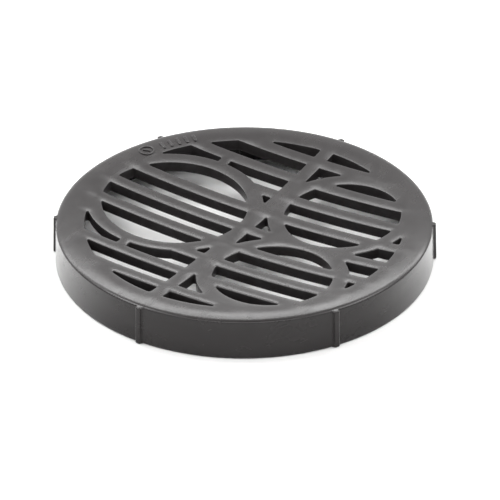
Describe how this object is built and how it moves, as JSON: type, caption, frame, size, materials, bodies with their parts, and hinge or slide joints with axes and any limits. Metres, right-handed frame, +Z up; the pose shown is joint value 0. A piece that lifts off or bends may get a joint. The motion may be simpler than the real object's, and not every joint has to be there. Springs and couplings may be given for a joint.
{
  "type": "floor drain grate",
  "caption": "Round push-in floor drain grate: a dished slotted plate with ring and bar pattern, a flat rim, a short skirt and small locating lugs.",
  "frame": {"origin": "centre of the skirt's bottom edge, which is the face it rests on", "axes": "+Z up out of the floor, through the grate's centre; +X along the parallel bars, towards the two smaller rings; +Y along the spine bar"},
  "size_m": [0.1528, 0.1552, 0.0168],
  "materials": {
    "grate_plastic": "dark grey moulded polypropylene, satin, slightly uneven gloss"
  },
  "bodies": {
    "root": {"back_inner_bar_left": "grate_plastic", "back_outer_bar_left": "grate_plastic", "back_outer_bar_right": "grate_plastic", "back_ring": "grate_plastic", "back_ring_bar_1": "grate_plastic", "back_ring_bar_2": "grate_plastic", "back_ring_bar_3": "grate_plastic", "back_stub_bar_centre": "grate_plastic", "back_stub_bar_right": "grate_plastic", "back_web": "grate_plastic", "centre_bar": "grate_plastic", "front_inner_bar_left": "grate_plastic", "front_outer_bar_left": "grate_plastic", "front_outer_bar_right": "grate_plastic", "front_ring": "grate_plastic", "front_ring_bar_1": "grate_plastic", "front_ring_bar_2": "grate_plastic", "front_ring_bar_3": "grate_plastic", "front_stub_bar_centre": "grate_plastic", "front_stub_bar_right": "grate_plastic", "front_web": "grate_plastic", "large_ring": "grate_plastic", "large_ring_bar_1": "grate_plastic", "large_ring_bar_2": "grate_plastic", "large_ring_bar_3": "grate_plastic", "locating_lugs": "grate_plastic", "mould_mark": "grate_plastic", "rim_plate": "grate_plastic", "skirt_wall": "grate_plastic", "spine_bar": "grate_plastic"}
  },
  "joints": []
}
